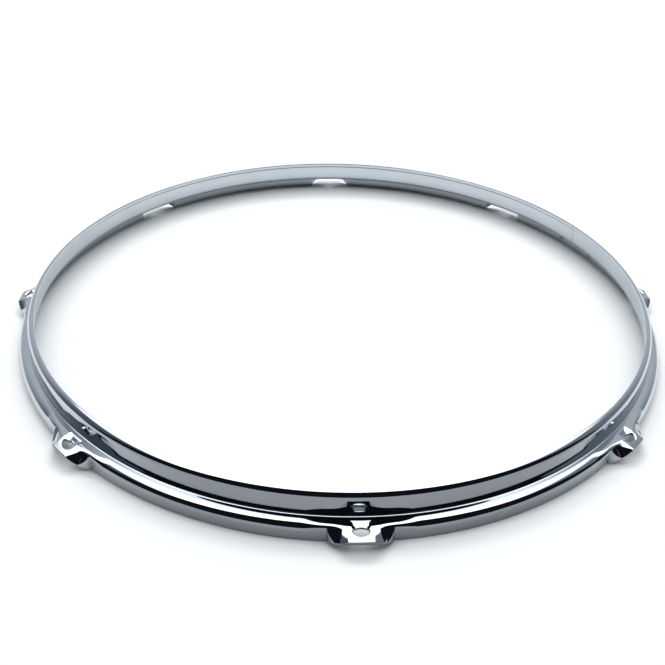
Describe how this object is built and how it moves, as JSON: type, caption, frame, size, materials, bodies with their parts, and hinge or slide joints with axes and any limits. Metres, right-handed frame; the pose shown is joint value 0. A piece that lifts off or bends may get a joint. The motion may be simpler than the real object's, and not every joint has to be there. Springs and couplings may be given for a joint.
{
  "type": "drum hoop",
  "caption": "Chromed pressed steel hoop that clamps a drum head: an inward lip, a collar wall, a shoulder and a skirt with drawn ears for tension rods.",
  "frame": {"origin": "on the hoop's axis, level with the lower edge of the skirt", "axes": "+Z along the hoop's axis, from the lower edge to the lip; -Y towards the front ear"},
  "size_m": [0.3914, 0.3914, 0.0218],
  "materials": {
    "chrome_plate": "polished chrome plate on pressed steel, mirror bright and faintly blue",
    "weld_plate": "dressed butt weld under the same plate, slightly duller"
  },
  "bodies": {
    "root": {"hoop_strip": "chrome_plate", "butt_weld": "weld_plate"}
  },
  "joints": []
}
